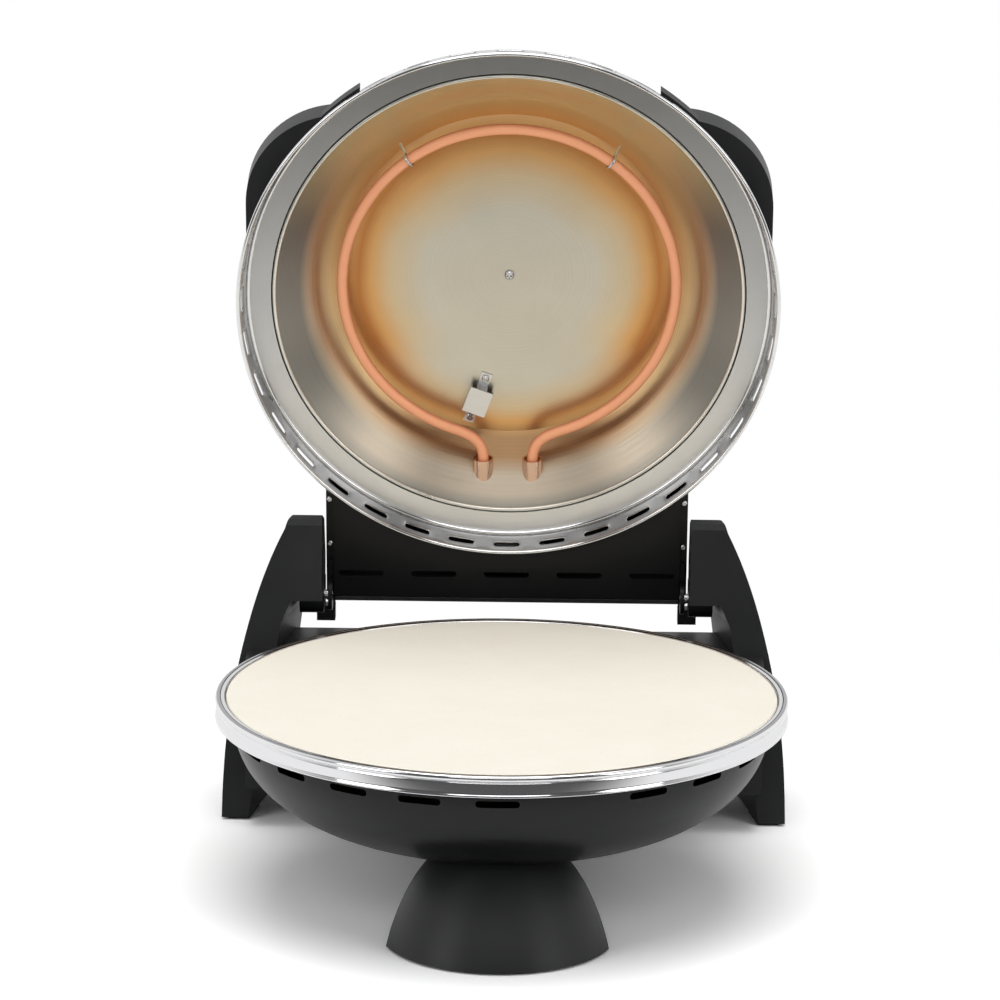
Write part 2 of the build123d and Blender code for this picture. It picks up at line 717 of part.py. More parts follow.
def make_panel():
    panel = block(-panel_half_width, panel_half_width, 100, panel_edge_y, panel_up, panel_up + panel_sheet)
    roll = 1.3
    panel += rod(roll, (-panel_half_width + 0.8, panel_edge_y, panel_up + roll),
                 (panel_half_width - 0.8, panel_edge_y, panel_up + roll))
    slot = extrude(Pos(0, 0, panel_up - 1) * SlotOverall(panel_slot_length, panel_slot_height), 3)
    lip_half = panel_slot_length / 2 - 2
    lip = block(-lip_half, lip_half, panel_slot_height / 2, panel_slot_height / 2 + 1.2, panel_up - 1.0, panel_up)
    for i in range(panel_slots):
        x = (i - (panel_slots - 1) / 2) * panel_slot_pitch
        panel -= Pos(x, panel_slot_y, 0) * slot
        panel += Pos(x, panel_slot_y, 0) * lip
    return largest(panel - lid_outside(0.3))


def make_box_screws():
    x = (panel_half_width + box_half_width) / 2 - 0.1
    heads = [screw_head(1.7, (x, y, box_floor_up), (0, 0, -1)) for y in (127.0, 156.0)]
    return both_sides(heads[0] + heads[1])


# ---- Handle bridge and controls ----
def pod_height(y):
    return pod_front_up + (y - pod_front_y) * tan(radians(pod_slope))


def on_pod(side):
    # the place of a control: Z leaves the pod's sloping face
    return Pos(side * knob_x, knob_y, pod_height(knob_y)) * Rot(pod_slope, 0, 0)


def handle_plan(inset=0.0):
    wide = handle_half_width - inset
    front = handle_front_y + inset
    rear = handle_rear_y - inset
    outline = [(wide, rear), (wide, front), (-wide, front), (-wide, rear)]
    plan = make_face(Polyline(*[(x, y, 0) for x, y in outline], close=True))
    plan = fillet(plan.vertices().filter_by(lambda corner: corner.Y < -40), handle_corner - inset)
    return fillet(plan.vertices().filter_by(lambda corner: abs(corner.Y - rear) < 0.01), 10.0)


def handle_block(inset=0.0):
    plan = handle_plan(inset)
    grips = extrude(Pos(0, 0, handle_under + inset) * plan, handle_over - handle_under - 2 * inset)
    if not inset:
        grips = chamfer(grips.edges().group_by(Axis.Z)[-1], 3.0)
    saddle = filled_turned(dome_line(handle_cover - inset), skirt_height - 2)
    saddle &= extrude(Pos(0, 0, handle_under + inset) * plan, 90)
    rear = pod_rear_y - inset
    front = pod_front_y + inset
    drop = inset / cos(radians(pod_slope))
    slope = [(rear, pod_height(rear) - drop), (front, pod_height(front) - drop)]
    pod = across([(rear + 10, 30)] + slope + [(front, 30)], pod_half_width - inset)
    return grips + saddle + pod


def make_handle():
    hollow = handle_block(handle_wall)
    handle = handle_block() - hollow - lid_outside(0.3)
    for side in (-1, 1):
        handle -= on_pod(side) * Cylinder(shaft_radius + 0.6, 20)
    handle -= Pos(0, knob_y, pod_height(knob_y)) * Rot(pod_slope, 0, 0) * Cylinder(4.0, 20)
    return largest(handle)


def make_tabs():
    # two thin fins that run on from the grips along the edge of the dome
    inner = dome_radius + 0.4
    outer, fin_top = inner + fin_width, handle_under + fin_height
    fin = turned([(inner, handle_under), (outer, handle_under), (outer, fin_top), (inner, fin_top)])
    fin &= block(fin_x, fin_x + 22, -170, -60, 0, 60)
    return both_sides(fin - handle_block())


def make_knob(side, turn):
    knob = Pos(0, 0, body_gap + 0.2 + knob_height / 2) * Cylinder(knob_radius, knob_height)
    knob = chamfer(knob.edges().group_by(Axis.Z)[-1], 1.5)
    flute = Pos(knob_radius + 0.8, 0, 9) * Cylinder(1.8, 16)
    for i in range(knob_flutes):
        knob -= Rot(0, 0, 360 / knob_flutes * (i + 0.5)) * flute
    top = body_gap + 0.2 + knob_height
    knob -= block(-0.8, 0.8, 5, knob_radius + 1, top - 0.8, top + 1)
    knob -= Pos(0, 0, top) * Cylinder(4.2, 1.6)
    knob -= Pos(0, 0, body_gap + 4) * Cylinder(shaft_radius, 16)
    return on_pod(side) * Rot(0, 0, turn) * knob


def make_knob_cap(side):
    top = body_gap + 0.2 + knob_height
    return on_pod(side) * Pos(0, 0, top - 0.4) * Cylinder(4.2, 0.8)


def make_shaft(side):
    low = -handle_wall - 8
    return on_pod(side) * Pos(0, 0, (low + 12) / 2) * Cylinder(shaft_radius, 12 - low)


def make_control(side):
    top = -handle_wall - 0.3
    body = Pos(0, 0, top - control_depth / 2) * Cylinder(control_radius, control_depth)
    body -= Pos(0, 0, top - 4.5) * Cylinder(shaft_radius + hinge_clearance, 9.2)
    for i in (-1, 1):
        body += Pos(i * 9, 8, top - control_depth - 0.6) * Box(4, 1, 1.2)
    return on_pod(side) * body


def make_lamp():
    lens = Pos(0, 0, -1.5) * Cylinder(3.9, 5)
    lens += Pos(0, 0, 1.0) * Sphere(3.9) & Pos(0, 0, 3) * Cylinder(3.9, 4)
    return Pos(0, knob_y, pod_height(knob_y)) * Rot(pod_slope, 0, 0) * lens


# ---- The whole set ----
def in_lid(shape):
    # from the lid's own frame to its open place on the base
    about_hinge = Pos(0, hinge_y, hinge_z) * Rot(-open_angle, 0, 0) * Pos(0, -hinge_y, -hinge_z)
    return about_hinge * Pos(0, 0, lid_rim_z) * shape


def base_pieces():
    left_arm = make_left_arm()
    cover = make_arm_cover()
    pin = rod(hinge_pin, (-ear_x + 0.1, hinge_y, hinge_z), (-arm_inner_x - 11.5, hinge_y, hinge_z))
    clip = Pos(0, 0, lower_heater_z) * Rot(180, 0, 180) * make_clip(lower_clip_out, lower_clip_up)
    cutout_top_z = lower_pan_floor_z - pan_sheet
    foot_screw = screw_head(3.6, (foot_screw_x, foot_screw_y, foot_post_z), (0, 0, -1))
    cover_screws = [screw_head(2.6, (x, housing_rear_y, z), (0, 1, 0)) for x, z in cover_spots]
    return {
        "bowl": make_bowl(),
        "rim_ring": make_ring(),
        "lower_pan": make_lower_pan(),
        "lower_heater": Pos(0, 0, lower_heater_z) * make_heater(),
        "lower_heater_ferrules": Pos(0, 0, lower_heater_z) * make_ferrules(),
        "lower_heater_clips": Rot(0, 0, -clip_angle) * clip + Rot(0, 0, clip_angle) * clip,
        "thermal_cutout": block(24, 46, -6, 6, cutout_top_z - 6, cutout_top_z),
        "front_foot": make_foot(),
        "front_foot_pad": make_foot_pad(),
        "foot_screws": both_sides(foot_screw),
        "left_arm": left_arm,
        "right_arm": mirrored(left_arm),
        "left_arm_cover": cover,
        "right_arm_cover": mirrored(cover),
        "arm_pads": both_sides(make_arm_pad()),
        "lid_stop_pads": both_sides(make_stop_pad()),
        "hinge_pins": both_sides(pin),
        "rear_housing": make_housing(),
        "housing_cover": make_housing_cover(),
        "housing_screws": cover_screws[0] + cover_screws[1] + cover_screws[2] + cover_screws[3],
        "cord_inlet": make_cord_inlet(),
        "base_terminal_block": make_base_terminals(),
        "base_wires": make_base_wires(),
    }


def lid_pieces():
    upper_clip = Pos(0, 0, upper_heater_up) * make_clip(upper_clip_out, upper_clip_up)
    return {
        "lid_dome": make_dome(),
        "lid_skirt": make_skirt(),
        "lid_flange": make_flange(),
        "upper_pan": make_upper_pan(),
        "upper_heater": Pos(0, 0, upper_heater_up) * make_heater(),
        "upper_heater_ferrules": Pos(0, 0, upper_heater_up) * make_ferrules(),
        "upper_heater_clips": Rot(0, 0, -clip_angle) * upper_clip + Rot(0, 0, clip_angle) * upper_clip,
        "pan_screw": make_pan_screw(),
        "sensor_cover": make_sensor_cover(),
        "sensor_bulb": make_sensor_bulb(),
        "sensor_screws": make_sensor_screws(),
        "lid_insulation": make_insulation(),
        "lid_wires": make_lid_wires(),
        "lid_terminal_block": make_lid_terminals(),
        "hinge_cover": make_hinge_cover(),
        "hinge_panel": make_panel(),
        "hinge_ears": make_ears(),
        "hinge_box_screws": make_box_screws(),
        "handle_bridge": make_handle(),
        "handle_tabs": make_tabs(),
        "thermostat_body": make_control(-1),
        "timer_body": make_control(1),
        "pilot_lamp": make_lamp(),
        "thermostat_knob": make_knob(-1, 0),
        "thermostat_knob_cap": make_knob_cap(-1),
        "thermostat_shaft": make_shaft(-1),
        "timer_knob": make_knob(1, 0),
        "timer_knob_cap": make_knob_cap(1),
        "timer_shaft": make_shaft(1),
    }


pieces = base_pieces()
pieces["baking_stone"] = make_stone()
for name, shape in lid_pieces().items():
    pieces[name] = in_lid(shape)

boxes = [shape.bounding_box() for shape in pieces.values()]
middle_x = (min(box.min.X for box in boxes) + max(box.max.X for box in boxes)) / 2
middle_y = (min(box.min.Y for box in boxes) + max(box.max.Y for box in boxes)) / 2
home = Pos(-middle_x, -middle_y, 0)

os.makedirs("parts", exist_ok=True)
for name, shape in pieces.items():
    export_step(home * shape, "parts/" + name + ".step")

print("bowl axis at Y", round(-middle_y, 3))
print("hinge at Y", round(hinge_y - middle_y, 3), "Z", hinge_z)
for side in (-1, 1):
    spot = home * in_lid(on_pod(side) * Pos(0, 0, 0))
    tip = home * in_lid(on_pod(side) * Pos(0, 0, 1))
    print("knob at", spot.position, "towards", tip.position - spot.position)
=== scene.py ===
import json
import math
import bmesh
import bpy
import numpy as np
from mathutils import Matrix, Vector


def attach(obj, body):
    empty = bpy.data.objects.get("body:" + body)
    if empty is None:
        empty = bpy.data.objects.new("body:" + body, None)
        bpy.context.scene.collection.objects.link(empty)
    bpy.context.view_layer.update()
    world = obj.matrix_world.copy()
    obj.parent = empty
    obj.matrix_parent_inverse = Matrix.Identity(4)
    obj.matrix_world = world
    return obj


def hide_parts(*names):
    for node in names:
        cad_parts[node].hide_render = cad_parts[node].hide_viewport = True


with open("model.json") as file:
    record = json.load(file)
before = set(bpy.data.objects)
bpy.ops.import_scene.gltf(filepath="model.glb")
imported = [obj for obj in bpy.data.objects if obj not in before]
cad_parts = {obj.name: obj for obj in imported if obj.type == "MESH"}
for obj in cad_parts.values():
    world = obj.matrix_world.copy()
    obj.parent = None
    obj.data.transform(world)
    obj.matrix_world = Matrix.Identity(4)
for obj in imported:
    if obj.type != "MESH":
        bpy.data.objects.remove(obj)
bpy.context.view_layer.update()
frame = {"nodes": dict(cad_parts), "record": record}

nodes = frame["nodes"]
print("frame loaded:", len(nodes), "nodes")

mm = 0.001
bowlAxis = (0.0, -0.035421, 0.0)
upright = (0.0, 0.0, 1.0)
hingeSpot = (0.0, 0.152179, 0.1244)
openAngle = math.radians(79.0)
lidAxis = (0.0, math.sin(openAngle), math.cos(openAngle))   # from the rim plane into the dome
hingeInLid = {"y": 187.6, "h": 4.9}   # the hinge in the lid's own measures


def lidPoints(x, y, h):
    # lid measures in mm (across, towards the hinge, into the dome) to the open place in metres:
    # a turn of openAngle about the hinge line
    dy, dz = (y - hingeInLid["y"]) * mm, (h - hingeInLid["h"]) * mm
    c, s = math.cos(openAngle), math.sin(openAngle)
    y, z = hingeSpot[1] + c * dy + s * dz, hingeSpot[2] - s * dy + c * dz
    return np.stack([x * mm + 0 * dy, y, z], axis=-1)


def basePoints(x, y, z):
    # mm round the bowl's axis to metres
    return np.stack([x * mm, y * mm + bowlAxis[1], z * mm + 0 * x], axis=-1)


lidUp = (0.0, -math.cos(openAngle), math.sin(openAngle))   # in the rim plane, away from the hinge
lidCentre = tuple(float(v) for v in lidPoints(np.float64(0), np.float64(0), np.float64(0)))


# helpers for the materials
def startMaterial(name):
    mat = bpy.data.materials.new(name)
    mat.use_nodes = True
    tree = mat.node_tree
    place = tree.nodes.new("ShaderNodeTexCoord").outputs["Object"]
    return mat, tree, tree.nodes["Principled BSDF"], place


def addMath(tree, kind, a, b=None, c=None, clamp=False):
    node = tree.nodes.new("ShaderNodeMath")
    node.operation = kind
    node.use_clamp = clamp
    for i, value in enumerate((a, b, c)):
        if isinstance(value, (int, float)):
            node.inputs[i].default_value = value
        elif value is not None:
            tree.links.new(value, node.inputs[i])
    return node.outputs[0]


def addNoise(tree, vector, scale, detail=4.0, roughness=0.55):
    node = tree.nodes.new("ShaderNodeTexNoise")
    node.inputs["Scale"].default_value = scale
    node.inputs["Detail"].default_value = detail
    node.inputs["Roughness"].default_value = roughness
    tree.links.new(vector, node.inputs["Vector"])
    return node.outputs["Fac"]


def addRings(tree, radius, scale, detail=3.0):
    # noise that depends on the distance from an axis only: marks of spinning or turning
    node = tree.nodes.new("ShaderNodeTexNoise")
    node.noise_dimensions = "1D"
    node.inputs["Scale"].default_value = scale
    node.inputs["Detail"].default_value = detail
    tree.links.new(radius, node.inputs["W"])
    return node.outputs["Fac"]


def addRamp(tree, value, stops):
    node = tree.nodes.new("ShaderNodeValToRGB")
    ramp = node.color_ramp
    while len(ramp.elements) < len(stops):
        ramp.elements.new(0.5)
    for element, (place, colour) in zip(ramp.elements, stops):
        element.position = place
        element.color = (*colour, 1.0)
    tree.links.new(value, node.inputs[0])
    return node.outputs[0]


def addRange(tree, value, low, high, fromLow=0.3, fromHigh=0.7, smooth=False):
    node = tree.nodes.new("ShaderNodeMapRange")
    node.interpolation_type = "SMOOTHSTEP" if smooth else "LINEAR"
    for socket, number in zip(("From Min", "From Max", "To Min", "To Max"), (fromLow, fromHigh, low, high)):
        node.inputs[socket].default_value = number
    tree.links.new(value, node.inputs["Value"])
    return node.outputs[0]


def addMix(tree, factor, first, second, blend="MIX"):
    node = tree.nodes.new("ShaderNodeMix")
    node.data_type = "RGBA"
    node.blend_type = blend
    for socket, value in ((node.inputs[0], factor), (node.inputs[6], first), (node.inputs[7], second)):
        if isinstance(value, (int, float)):
            socket.default_value = value
        elif isinstance(value, tuple):
            socket.default_value = (*value, 1.0)
        else:
            tree.links.new(value, socket)
    return node.outputs[2]


def addBump(tree, shader, height, strength, distance):
    node = tree.nodes.new("ShaderNodeBump")
    node.inputs["Strength"].default_value = strength
    node.inputs["Distance"].default_value = distance
    tree.links.new(height, node.inputs["Height"])
    if shader.inputs["Normal"].is_linked:
        tree.links.new(shader.inputs["Normal"].links[0].from_socket, node.inputs["Normal"])
    tree.links.new(node.outputs[0], shader.inputs["Normal"])


def addVector(tree, kind, a, b=None):
    node = tree.nodes.new("ShaderNodeVectorMath")
    node.operation = kind
    tree.links.new(a, node.inputs[0])
    if b is not None:
        node.inputs[1].default_value = b
    return node.outputs["Value" if kind in ("LENGTH", "DOT_PRODUCT") else "Vector"]


def axisRadius(tree, place, centre, axis):
    # distance from an axis: length of (place - centre) x axis
    away = addVector(tree, "SUBTRACT", place, centre)
    return addVector(tree, "LENGTH", addVector(tree, "CROSS_PRODUCT", away, axis))


def addBlend(tree, first, second, share):
    # first * share + second * (1 - share)
    return addMath(tree, "ADD", addMath(tree, "MULTIPLY", first, share),
                   addMath(tree, "MULTIPLY", second, 1.0 - share))


def addSway(tree, noise, reach, middle):
    # middle + (noise - 0.5) * reach
    return addMath(tree, "MULTIPLY_ADD", addMath(tree, "SUBTRACT", noise, 0.5), reach, middle)


def setColour(tree, shader, value, low, high, fromLow=0.3, fromHigh=0.7):
    tree.links.new(addRamp(tree, value, [(fromLow, low), (fromHigh, high)]), shader.inputs["Base Color"])


def setRough(tree, shader, value, low, high, fromLow=0.3, fromHigh=0.7):
    tree.links.new(addRange(tree, value, low, high, fromLow, fromHigh), shader.inputs["Roughness"])


def tintColour(tree, shader, tone):
    # the colour that the shader has already, multiplied by the tone
    old = shader.inputs["Base Color"].links[0].from_socket
    tree.links.new(addMix(tree, 1.0, tone, old, "MULTIPLY"), shader.inputs["Base Color"])


def darker(colour, share):
    return tuple(c * share for c in colour)


# finishes: noise scales are per metre, depths are metres
plasticLook = {"dark": (0.0055, 0.0058, 0.0064), "light": (0.0105, 0.011, 0.012), "rough": (0.40, 0.56),
               "cloud": 14.0, "cloudShare": 0.6, "grain": 1400.0, "bump": 0.35, "grainDepth": 0.00007,
               "shine": 0.38}


def makeMouldedPlastic(name, look):
    mat, tree, shader, place = startMaterial(name)
    grain = addNoise(tree, place, look["grain"], 2.0, 0.6)
    both = addBlend(tree, addNoise(tree, place, look["cloud"]), grain, look["cloudShare"])
    setColour(tree, shader, both, look["dark"], look["light"])
    setRough(tree, shader, both, *look["rough"])
    shader.inputs["Specular IOR Level"].default_value = look["shine"]
    addBump(tree, shader, grain, look["bump"], look["grainDepth"])
    return mat


enamelLook = {"dark": (0.0032, 0.0034, 0.0038), "light": (0.0055, 0.0057, 0.0062), "rough": (0.27, 0.37),
              "cloud": 9.0, "cloudShare": 0.7, "dust": 2200.0, "peel": 260.0, "bump": 0.10,
              "peelDepth": 0.00010, "shine": 0.26, "coat": 0.05, "coatRough": 0.2}


def makeStoveEnamel(name, look):
    mat, tree, shader, place = startMaterial(name)
    cloud = addNoise(tree, place, look["cloud"])
    dusty = addBlend(tree, cloud, addNoise(tree, place, look["dust"], 1.0), look["cloudShare"])
    setColour(tree, shader, cloud, look["dark"], look["light"])
    setRough(tree, shader, dusty, *look["rough"])
    shader.inputs["Specular IOR Level"].default_value = look["shine"]
    shader.inputs["Coat Weight"].default_value = look["coat"]
    shader.inputs["Coat Roughness"].default_value = look["coatRough"]
    addBump(tree, shader, addNoise(tree, place, look["peel"], 2.0), look["bump"], look["peelDepth"])
    return mat


stoneLook = {"pale": (0.82, 0.785, 0.695), "deep": (0.80, 0.762, 0.668), "speck": (0.62, 0.56, 0.46),
             "cloud": 30.0, "grain": 700.0, "speckShare": 0.45, "rough": (0.74, 0.92), "shine": 0.3,
             "bump": 0.4, "grainDepth": 0.00014}


def makeBakingStone(name, look):
    # fine-grained fired clay: a slow cloud, small specks and a sandy relief
    mat, tree, shader, place = startMaterial(name)
    cloud = addNoise(tree, place, look["cloud"], 6.0, 0.6)
    grain = addNoise(tree, place, look["grain"], 3.0, 0.65)
    body = addRamp(tree, cloud, [(0.30, look["deep"]), (0.65, look["pale"])])
    specks = addRamp(tree, grain, [(0.30, (1.0, 1.0, 1.0)), (0.37, (0.0, 0.0, 0.0))])
    tree.links.new(addMix(tree, addMath(tree, "MULTIPLY", specks, look["speckShare"]), body, look["speck"]),
                   shader.inputs["Base Color"])
    setRough(tree, shader, grain, *look["rough"])
    shader.inputs["Specular IOR Level"].default_value = look["shine"]
    addBump(tree, shader, grain, look["bump"], look["grainDepth"])
    return mat


turnedLook = {"smear": 30.0, "ringShare": 0.6, "dim": 0.9, "bump": 0.10, "ringDepth": 0.00003}


def makeTurnedSteel(name, base, rough, centre, axis, marks=2600.0):
    # steel spun or turned round an axis: rings in tone, roughness and relief
    mat, tree, shader, place = startMaterial(name)
    shader.inputs["Metallic"].default_value = 1.0
    radius = axisRadius(tree, place, centre, axis)
    rings = addRings(tree, radius, marks)
    both = addBlend(tree, rings, addNoise(tree, place, turnedLook["smear"]), turnedLook["ringShare"])
    setColour(tree, shader, both, darker(base, turnedLook["dim"]), base, 0.35, 0.65)
    setRough(tree, shader, rings, *rough)
    addBump(tree, shader, rings, turnedLook["bump"], turnedLook["ringDepth"])
    return mat, tree, shader, place, radius


def addHeading(tree, place, centre, towards, radius):
    # which side of an axis a point lies on: (place - centre) . towards / radius, from 1 to -1
    along = addVector(tree, "DOT_PRODUCT", addVector(tree, "SUBTRACT", place, centre), towards)
    return addMath(tree, "DIVIDE", along, addMath(tree, "MAXIMUM", radius, 0.004))


# tints of the pan's steel, and where each lies along the radius in mm on the side away from the hinge,
# beside the axis and on the hinge side: next to the tube a burnt heat tint with painted glow of the tube
# and a painted shadow of the tube at 89 mm, straw further off, a painted reflection on the far wall,
# painted shade on the walls beside and on the hinge side and in the gap at the rim
panTintsAndPaintedLight = {"steel": (0.72, 0.68, 0.58), "straw": (0.78, 0.62, 0.40), "bronzeAndGlow": (0.82, 0.46, 0.18),
             "scorchedAndTubeShadow": (0.62, 0.26, 0.08), "amberAndGlow": (0.92, 0.66, 0.34), "creamReflection": (0.94, 0.86, 0.52),
             "brownShade": (0.40, 0.24, 0.12), "dull": (0.52, 0.44, 0.34), "shaded": (0.30, 0.28, 0.24),
             "gapShade": (0.02, 0.018, 0.016)}
panRowsOfTintAndPaintedLight = {
    "far": [(0, "steel"), (40, "steel"), (62, "straw"), (78, "bronzeAndGlow"), (89, "scorchedAndTubeShadow"), (97, "bronzeAndGlow"),
            (106, "amberAndGlow"), (120, "creamReflection"), (136, "creamReflection"), (137.7, "gapShade")],
    "beside": [(0, "steel"), (50, "steel"), (70, "straw"), (82, "bronzeAndGlow"), (89, "scorchedAndTubeShadow"), (97, "bronzeAndGlow"),
               (106, "amberAndGlow"), (114, "straw"), (123, "shaded"), (136, "shaded"), (137.7, "gapShade")],
    "hinge": [(0, "steel"), (72, "steel"), (86, "straw"), (95, "bronzeAndGlow"), (104, "brownShade"), (113, "brownShade"),
              (122, "dull"), (130, "dull"), (136, "shaded"), (137.7, "gapShade")],
}
# where the heading turns one row of the tint into the next: painted light and shade that differ from side to
# side of the pan
panLightTurns = [("beside", 0.25, 0.8), ("hinge", -0.9, -0.45)]
panLook = {"reach": 140.0, "rough": (0.30, 0.42), "rings": 1500.0, "brush": 900.0, "cloud": 26.0,
           "stray": 0.006, "calmFrom": 0.095, "calmTo": 0.1, "bump": 0.08, "brushDepth": 0.00003}


def makePanSteelWithPaintedLight(name, centre, axis, towards):
    # the tint follows the distance from the axis, strays a little with a slow cloud inside
    # calmFrom, and turns from one row of colours to the next with the heading, so that the painted
    # light and shade differ from side to side of the pan
    look = panLook
    mat, tree, shader, place, radius = makeTurnedSteel(name, (1.0, 1.0, 1.0), look["rough"], centre, axis,
                                                       look["rings"])
    wander = addSway(tree, addNoise(tree, place, look["cloud"], 5.0), look["stray"], radius)
    inside = addRange(tree, radius, 1.0, 0.0, look["calmFrom"], look["calmTo"])
    spot = addMath(tree, "ADD", addMath(tree, "MULTIPLY", wander, inside),
                   addMath(tree, "MULTIPLY", radius, addMath(tree, "SUBTRACT", 1.0, inside)))
    share = addMath(tree, "DIVIDE", spot, look["reach"] * mm)
    rows = {way: addRamp(tree, share, [(r / look["reach"], panTintsAndPaintedLight[tint]) for r, tint in row])
            for way, row in panRowsOfTintAndPaintedLight.items()}
    heading = addHeading(tree, place, centre, towards, radius)
    tint = rows["far"]
    for way, low, high in panLightTurns:
        tint = addMix(tree, addRange(tree, heading, 1.0, 0.0, low, high, True), tint, rows[way])
    tintColour(tree, shader, tint)
    addBump(tree, shader, addNoise(tree, place, look["brush"], 2.0), look["bump"], look["brushDepth"])
    return mat


# top is the tone of the painted shade on the side away from the hinge; low leaves the steel as it is
flangeLookWithShade = {"base": (0.80, 0.795, 0.78), "rough": (0.30, 0.40), "top": (0.55, 0.54, 0.52),
              "low": (1.0, 1.0, 1.0), "heading": (-0.9, 0.9)}


def makeFlangeSteelWithPaintedShade(name, look):
    # painted shade: a little darker on the side away from the hinge
    mat, tree, shader, place, radius = makeTurnedSteel(name, look["base"], look["rough"], lidCentre, lidAxis)
    heading = addRange(tree, addHeading(tree, place, lidCentre, lidUp, radius), 0.0, 1.0, *look["heading"])
    tintColour(tree, shader, addRamp(tree, heading, [(0.0, look["low"]), (1.0, look["top"])]))
    return mat


# the height of the painted highlight along the tube's top and of its sides, in metres above the rim plane of
# the lid
tubeLook = {"deep": (0.42, 0.13, 0.055), "pale": (0.74, 0.33, 0.17), "glow": (0.80, 0.24, 0.10),
            "strength": 0.10, "highlightCrest": 0.0331, "side": 0.0366, "cloud": 60.0, "stray": 0.5, "scale": 1100.0,
            "rough": (0.42, 0.6), "bump": 0.25, "scaleDepth": 0.00005}


def makeHotTube(name, look):
    mat, tree, shader, place = startMaterial(name)
    scale = addNoise(tree, place, look["scale"], 2.0)
    # painted highlight: paler along the top of the tube that faces out of the lid
    height = addVector(tree, "DOT_PRODUCT", addVector(tree, "SUBTRACT", place, lidCentre), lidAxis)
    highlightCrest = addRange(tree, height, 1.0, 0.0, look["highlightCrest"], look["side"])
    both = addSway(tree, addNoise(tree, place, look["cloud"], 4.0), look["stray"], highlightCrest)
    setColour(tree, shader, both, look["deep"], look["pale"], 0.1, 0.85)
    shader.inputs["Emission Color"].default_value = (*look["glow"], 1.0)
    shader.inputs["Emission Strength"].default_value = look["strength"]
    setRough(tree, shader, scale, *look["rough"])
    addBump(tree, shader, scale, look["bump"], look["scaleDepth"])
    return mat


brightLook = {"smear": 45.0, "dim": 0.88, "scratch": 1800.0, "bump": 0.03, "scratchDepth": 0.00002}


def makeBrightMetal(name, base, rough):
    look = brightLook
    mat, tree, shader, place = startMaterial(name)
    shader.inputs["Metallic"].default_value = 1.0
    smear = addNoise(tree, place, look["smear"])
    setColour(tree, shader, smear, darker(base, look["dim"]), base)
    setRough(tree, shader, smear, *rough)
    addBump(tree, shader, addNoise(tree, place, look["scratch"], 2.0), look["bump"], look["scratchDepth"])
    return mat


def makeDull(name, dark, light, rough, grain, bump=0.4, depth=0.0001):
    # fired clay, mat, sleeve, rubber or print: mottled, matt, with relief of one grain size
    mat, tree, shader, place = startMaterial(name)
    cloud = addNoise(tree, place, grain, 4.0, 0.6)
    setColour(tree, shader, cloud, dark, light)
    setRough(tree, shader, cloud, *rough)
    addBump(tree, shader, cloud, bump, depth)
    return mat


lensLook = {"dark": (0.42, 0.03, 0.02), "light": (0.58, 0.05, 0.03), "cloud": 300.0, "rough": 0.12,
            "coat": 0.6}


def makeLampLens(name, look):
    mat, tree, shader, place = startMaterial(name)
    setColour(tree, shader, addNoise(tree, place, look["cloud"]), look["dark"], look["light"])
    shader.inputs["Roughness"].default_value = look["rough"]
    shader.inputs["Coat Weight"].default_value = look["coat"]
    return mat


finishes = {
    "black_plastic": makeMouldedPlastic("mouldedBlack", plasticLook),
    "knob_plastic": makeMouldedPlastic("knobBlack", dict(plasticLook, rough=(0.26, 0.38))),
    "black_enamel": makeStoveEnamel("stoveEnamel", enamelLook),
    "black_sheet": makeStoveEnamel("powderCoat", dict(enamelLook, rough=(0.38, 0.52), peel=700.0)),
    "stone": makeBakingStone("bakedClay", stoneLook),
    "chrome": makeBrightMetal("polishedBand", (0.80, 0.80, 0.81), (0.07, 0.13)),
    "bright_steel": makeBrightMetal("zincPlate", (0.66, 0.66, 0.67), (0.18, 0.30)),
    "ferrule": makeBrightMetal("copperCollar", (0.74, 0.50, 0.37), (0.14, 0.24)),
    "satin_steel": makeFlangeSteelWithPaintedShade("satinFlangeWithPaintedShade", flangeLookWithShade),
    "pan_steel": makePanSteelWithPaintedLight("heatTintAndPaintedLightPan", lidCentre, lidAxis, lidUp),
    "heater": makeHotTube("hotTube", tubeLook),
    "ceramic": makeDull("firedCeramic", (0.74, 0.72, 0.67), (0.86, 0.84, 0.79), (0.55, 0.7), 300.0),
    "rubber": makeDull("softRubber", (0.010, 0.010, 0.010), (0.018, 0.018, 0.018), (0.75, 0.9), 500.0),
    "sleeve": makeDull("glassSleeve", (0.70, 0.67, 0.58), (0.84, 0.81, 0.72), (0.8, 0.95), 1400.0),
    "insulation": makeDull("mineralMat", (0.62, 0.60, 0.55), (0.76, 0.74, 0.69), (0.85, 1.0), 220.0),
    "lamp": makeLampLens("tintedLens", lensLook),
}
# the lower pan gets the same heat tint with painted glow, shadow, reflection and shade
lowerPanWithPaintedLight = makePanSteelWithPaintedLight("heatTintAndPaintedLightLowerPan", bowlAxis, upright, (0.0, -1.0, 0.0))
for part in frame["record"]["subparts"]:
    cadNode = nodes[part["node"]]
    finish = lowerPanWithPaintedLight if part["node"] == "lower_pan" else finishes[part["material_slot"]]
    cadNode.data.materials.clear()
    cadNode.data.materials.append(finish)


# helpers for the new pieces
def addPiece(name, points, faces, body, finish, replaced=(), smooth=True, own=None):
    # finish is the slot that the record knows; own is a finish made for this piece alone
    mesh = bpy.data.meshes.new(name)
    mesh.from_pydata(points.reshape(-1, 3).tolist(), [], faces.tolist())
    mesh.polygons.foreach_set("use_smooth", np.full(len(mesh.polygons), smooth))
    mesh.materials.append(own or finishes[finish])
    piece = bpy.data.objects.new(name, mesh)
    bpy.context.scene.collection.objects.link(piece)
    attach(piece, body)
    if replaced:
        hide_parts(*replaced)
    return piece


